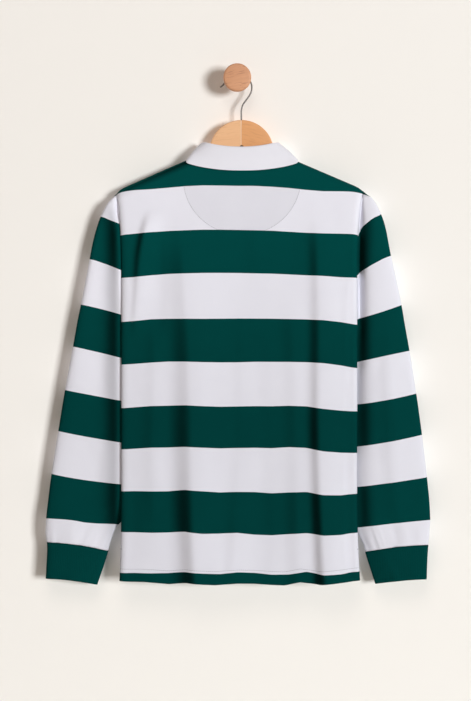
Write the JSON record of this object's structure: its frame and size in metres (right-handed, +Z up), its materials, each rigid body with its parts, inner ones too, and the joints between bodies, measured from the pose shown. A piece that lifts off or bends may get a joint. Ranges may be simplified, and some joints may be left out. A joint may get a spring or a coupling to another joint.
{
  "type": "rugby shirt on a hanger over a wall peg",
  "caption": "Striped long-sleeved rugby shirt with a drill collar and ribbed cuffs, on a wooden hanger hooked over a round wall peg",
  "frame": {"origin": "the middle of the round wall face of the peg's stem, where the peg meets the wall", "axes": "+X to the viewer's right when facing the wall, +Y square into the wall, +Z up; the shirt's back faces -Y, away from the wall"},
  "size_m": [0.6739, 0.0752, 0.9129],
  "materials": {
    "jersey": "matt cotton jersey in broad dark green and off-white bands",
    "rib": "matt dark green cotton rib",
    "drill": "smooth off-white cotton drill",
    "rubber": "off-white soft rubber",
    "beech": "light wood under a thin satin lacquer",
    "steel": "bright drawn steel wire"
  },
  "bodies": {
    "root": {"back_panel": "jersey", "front_panel": "jersey", "sleeve_left": "jersey", "sleeve_right": "jersey", "cuff_left": "rib", "cuff_right": "rib", "collar": "drill", "back_neck_moon": "drill", "placket_upper": "drill", "placket_under": "drill", "button_1": "rubber", "button_2": "rubber", "button_3": "rubber", "hanger_arm_left": "beech", "hanger_arm_right": "beech", "hook": "steel", "wall_peg": "beech"}
  },
  "joints": []
}
